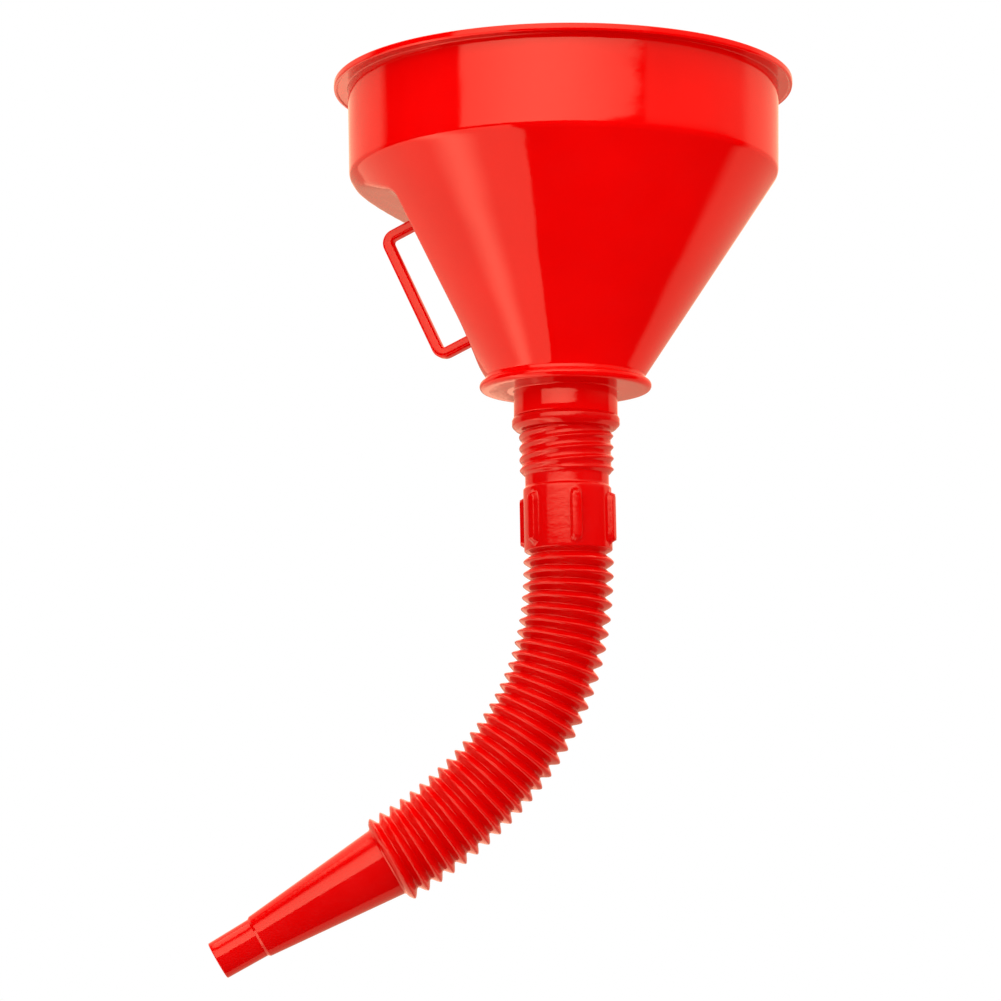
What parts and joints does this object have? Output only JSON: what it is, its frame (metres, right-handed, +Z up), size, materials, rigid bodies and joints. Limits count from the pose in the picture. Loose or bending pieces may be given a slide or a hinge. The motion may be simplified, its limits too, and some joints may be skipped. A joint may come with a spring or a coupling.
{
  "type": "filling funnel",
  "caption": "Round red plastic filling funnel with a finger handle, a lift-out strainer and a turning, bendable bellows spout that ends in a tapered nozzle.",
  "frame": {"origin": "on the bowl's axis, in the plane of the base flange's underside, where a hand holds the neck", "axes": "+Z up the bowl's axis and out of its mouth; the rest pose bends the spout towards -X in the X-Z plane; the handle stands out 20 degrees from -X towards +Y"},
  "size_m": [0.2657, 0.21, 0.4062],
  "materials": {
    "bowl_red": "glossy injection-moulded polyethylene, red",
    "spout_red": "glossy blow-moulded polyethylene, red",
    "strainer_red": "glossy injection-moulded polyethylene, red",
    "gauze_brass": "fine woven wire cloth"
  },
  "bodies": {
    "bowl": {"funnel_bowl": "bowl_red", "carry_handle": "bowl_red"},
    "strainer": {"strainer_frame": "strainer_red", "strainer_gauze": "gauze_brass"},
    "cuff": {"spout_cuff": "spout_red"},
    "ring_01": {"bellows_ring_01": "spout_red"},
    "ring_02": {"bellows_ring_02": "spout_red"},
    "ring_03": {"bellows_ring_03": "spout_red"},
    "ring_04": {"bellows_ring_04": "spout_red"},
    "ring_05": {"bellows_ring_05": "spout_red"},
    "ring_06": {"bellows_ring_06": "spout_red"},
    "ring_07": {"bellows_ring_07": "spout_red"},
    "ring_08": {"bellows_ring_08": "spout_red"},
    "ring_09": {"bellows_ring_09": "spout_red"},
    "ring_10": {"bellows_ring_10": "spout_red"},
    "ring_11": {"bellows_ring_11": "spout_red"},
    "ring_12": {"bellows_ring_12": "spout_red"},
    "ring_13": {"bellows_ring_13": "spout_red"},
    "ring_14": {"bellows_ring_14": "spout_red"},
    "ring_15": {"bellows_ring_15": "spout_red"},
    "ring_16": {"bellows_ring_16": "spout_red"},
    "ring_17": {"bellows_ring_17": "spout_red"},
    "ring_18": {"bellows_ring_18": "spout_red"},
    "ring_19": {"bellows_ring_19": "spout_red"},
    "ring_20": {"bellows_ring_20": "spout_red"},
    "ring_21": {"bellows_ring_21": "spout_red"},
    "ring_22": {"bellows_ring_22": "spout_red"},
    "ring_23": {"bellows_ring_23": "spout_red"},
    "ring_24": {"bellows_ring_24": "spout_red"},
    "ring_25": {"bellows_ring_25": "spout_red"},
    "ring_26": {"bellows_ring_26": "spout_red"},
    "ring_27": {"bellows_ring_27": "spout_red"},
    "nozzle": {"spout_nozzle": "spout_red"}
  },
  "joints": [
    {"name": "strainer_lift", "type": "slide", "parent": "bowl", "child": "strainer", "axis": [0, 0, 1], "range_m": [0, 0.15]},
    {"name": "spout_turn", "type": "hinge", "parent": "bowl", "child": "cuff", "pos_m": [0, 0, -0.0146], "axis": [-0.0122, 0, 0.9999], "range_deg": [-360, 0]},
    {"name": "hose_bend_01", "type": "hinge", "parent": "cuff", "child": "ring_01", "pos_m": [0.00074, 0, -0.07545], "axis": [0, 1, 0], "range_deg": [-1.2, 0.6]},
    {"name": "hose_bend_02", "type": "hinge", "parent": "ring_01", "child": "ring_02", "pos_m": [0.00069, 0, -0.08134], "axis": [0, 1, 0], "range_deg": [-1.42, 0.72]},
    {"name": "hose_bend_03", "type": "hinge", "parent": "ring_02", "child": "ring_03", "pos_m": [0.0005, 0, -0.08723], "axis": [0, 1, 0], "range_deg": [-1.52, 0.77]},
    {"name": "hose_bend_04", "type": "hinge", "parent": "ring_03", "child": "ring_04", "pos_m": [0.00015, 0, -0.09313], "axis": [0, 1, 0], "range_deg": [-1.82, 0.92]},
    {"name": "hose_bend_05", "type": "hinge", "parent": "ring_04", "child": "ring_05", "pos_m": [-0.00039, 0, -0.09902], "axis": [0, 1, 0], "range_deg": [-2.12, 1.07]},
    {"name": "hose_bend_06", "type": "hinge", "parent": "ring_05", "child": "ring_06", "pos_m": [-0.00114, 0, -0.1049], "axis": [0, 1, 0], "range_deg": [-2.32, 1.17]},
    {"name": "hose_bend_07", "type": "hinge", "parent": "ring_06", "child": "ring_07", "pos_m": [-0.00213, 0, -0.11075], "axis": [0, 1, 0], "range_deg": [-2.42, 1.22]},
    {"name": "hose_bend_08", "type": "hinge", "parent": "ring_07", "child": "ring_08", "pos_m": [-0.00337, 0, -0.11657], "axis": [0, 1, 0], "range_deg": [-2.52, 1.27]},
    {"name": "hose_bend_09", "type": "hinge", "parent": "ring_08", "child": "ring_09", "pos_m": [-0.00486, 0, -0.12234], "axis": [0, 1, 0], "range_deg": [-2.62, 1.32]},
    {"name": "hose_bend_10", "type": "hinge", "parent": "ring_09", "child": "ring_10", "pos_m": [-0.00662, 0, -0.12804], "axis": [0, 1, 0], "range_deg": [-2.72, 1.37]},
    {"name": "hose_bend_11", "type": "hinge", "parent": "ring_10", "child": "ring_11", "pos_m": [-0.00864, 0, -0.13367], "axis": [0, 1, 0], "range_deg": [-2.72, 1.37]},
    {"name": "hose_bend_12", "type": "hinge", "parent": "ring_11", "child": "ring_12", "pos_m": [-0.01093, 0, -0.1392], "axis": [0, 1, 0], "range_deg": [-2.72, 1.37]},
    {"name": "hose_bend_13", "type": "hinge", "parent": "ring_12", "child": "ring_13", "pos_m": [-0.01349, 0, -0.14463], "axis": [0, 1, 0], "range_deg": [-2.72, 1.37]},
    {"name": "hose_bend_14", "type": "hinge", "parent": "ring_13", "child": "ring_14", "pos_m": [-0.0163, 0, -0.14994], "axis": [0, 1, 0], "range_deg": [-2.72, 1.37]},
    {"name": "hose_bend_15", "type": "hinge", "parent": "ring_14", "child": "ring_15", "pos_m": [-0.01936, 0, -0.15512], "axis": [0, 1, 0], "range_deg": [-2.62, 1.32]},
    {"name": "hose_bend_16", "type": "hinge", "parent": "ring_15", "child": "ring_16", "pos_m": [-0.02267, 0, -0.16016], "axis": [0, 1, 0], "range_deg": [-2.62, 1.32]},
    {"name": "hose_bend_17", "type": "hinge", "parent": "ring_16", "child": "ring_17", "pos_m": [-0.0262, 0, -0.16506], "axis": [0, 1, 0], "range_deg": [-2.52, 1.27]},
    {"name": "hose_bend_18", "type": "hinge", "parent": "ring_17", "child": "ring_18", "pos_m": [-0.02995, 0, -0.16981], "axis": [0, 1, 0], "range_deg": [-2.42, 1.22]},
    {"name": "hose_bend_19", "type": "hinge", "parent": "ring_18", "child": "ring_19", "pos_m": [-0.0339, 0, -0.17441], "axis": [0, 1, 0], "range_deg": [-2.22, 1.12]},
    {"name": "hose_bend_20", "type": "hinge", "parent": "ring_19", "child": "ring_20", "pos_m": [-0.03803, 0, -0.17885], "axis": [0, 1, 0], "range_deg": [-2.02, 1.02]},
    {"name": "hose_bend_21", "type": "hinge", "parent": "ring_20", "child": "ring_21", "pos_m": [-0.04233, 0, -0.18316], "axis": [0, 1, 0], "range_deg": [-1.92, 0.97]},
    {"name": "hose_bend_22", "type": "hinge", "parent": "ring_21", "child": "ring_22", "pos_m": [-0.04677, 0, -0.18733], "axis": [0, 1, 0], "range_deg": [-1.92, 0.97]},
    {"name": "hose_bend_23", "type": "hinge", "parent": "ring_22", "child": "ring_23", "pos_m": [-0.05135, 0, -0.19136], "axis": [0, 1, 0], "range_deg": [-1.82, 0.92]},
    {"name": "hose_bend_24", "type": "hinge", "parent": "ring_23", "child": "ring_24", "pos_m": [-0.05607, 0, -0.19525], "axis": [0, 1, 0], "range_deg": [-1.82, 0.92]},
    {"name": "hose_bend_25", "type": "hinge", "parent": "ring_24", "child": "ring_25", "pos_m": [-0.06092, 0, -0.199], "axis": [0, 1, 0], "range_deg": [-1.82, 0.92]},
    {"name": "hose_bend_26", "type": "hinge", "parent": "ring_25", "child": "ring_26", "pos_m": [-0.06588, 0, -0.20259], "axis": [0, 1, 0], "range_deg": [-1.82, 0.92]},
    {"name": "hose_bend_27", "type": "hinge", "parent": "ring_26", "child": "ring_27", "pos_m": [-0.07097, 0, -0.20604], "axis": [0, 1, 0], "range_deg": [-1.92, 0.97]},
    {"name": "hose_bend_28", "type": "hinge", "parent": "ring_27", "child": "nozzle", "pos_m": [-0.07618, 0, -0.20932], "axis": [0, 1, 0], "range_deg": [-2.22, 1.12]}
  ],
  "couplings": [
    {"joint": "hose_bend_02", "follows": "hose_bend_01", "ratio": 1.1667},
    {"joint": "hose_bend_03", "follows": "hose_bend_01", "ratio": 1.25},
    {"joint": "hose_bend_04", "follows": "hose_bend_01", "ratio": 1.5},
    {"joint": "hose_bend_05", "follows": "hose_bend_01", "ratio": 1.75},
    {"joint": "hose_bend_06", "follows": "hose_bend_01", "ratio": 1.9167},
    {"joint": "hose_bend_07", "follows": "hose_bend_01", "ratio": 2},
    {"joint": "hose_bend_08", "follows": "hose_bend_01", "ratio": 2.0833},
    {"joint": "hose_bend_09", "follows": "hose_bend_01", "ratio": 2.1667},
    {"joint": "hose_bend_10", "follows": "hose_bend_01", "ratio": 2.25},
    {"joint": "hose_bend_11", "follows": "hose_bend_01", "ratio": 2.25},
    {"joint": "hose_bend_12", "follows": "hose_bend_01", "ratio": 2.25},
    {"joint": "hose_bend_13", "follows": "hose_bend_01", "ratio": 2.25},
    {"joint": "hose_bend_14", "follows": "hose_bend_01", "ratio": 2.25},
    {"joint": "hose_bend_15", "follows": "hose_bend_01", "ratio": 2.1667},
    {"joint": "hose_bend_16", "follows": "hose_bend_01", "ratio": 2.1667},
    {"joint": "hose_bend_17", "follows": "hose_bend_01", "ratio": 2.0833},
    {"joint": "hose_bend_18", "follows": "hose_bend_01", "ratio": 2},
    {"joint": "hose_bend_19", "follows": "hose_bend_01", "ratio": 1.8333},
    {"joint": "hose_bend_20", "follows": "hose_bend_01", "ratio": 1.6667},
    {"joint": "hose_bend_21", "follows": "hose_bend_01", "ratio": 1.5833},
    {"joint": "hose_bend_22", "follows": "hose_bend_01", "ratio": 1.5833},
    {"joint": "hose_bend_23", "follows": "hose_bend_01", "ratio": 1.5},
    {"joint": "hose_bend_24", "follows": "hose_bend_01", "ratio": 1.5},
    {"joint": "hose_bend_25", "follows": "hose_bend_01", "ratio": 1.5},
    {"joint": "hose_bend_26", "follows": "hose_bend_01", "ratio": 1.5},
    {"joint": "hose_bend_27", "follows": "hose_bend_01", "ratio": 1.5833},
    {"joint": "hose_bend_28", "follows": "hose_bend_01", "ratio": 1.8333}
  ]
}
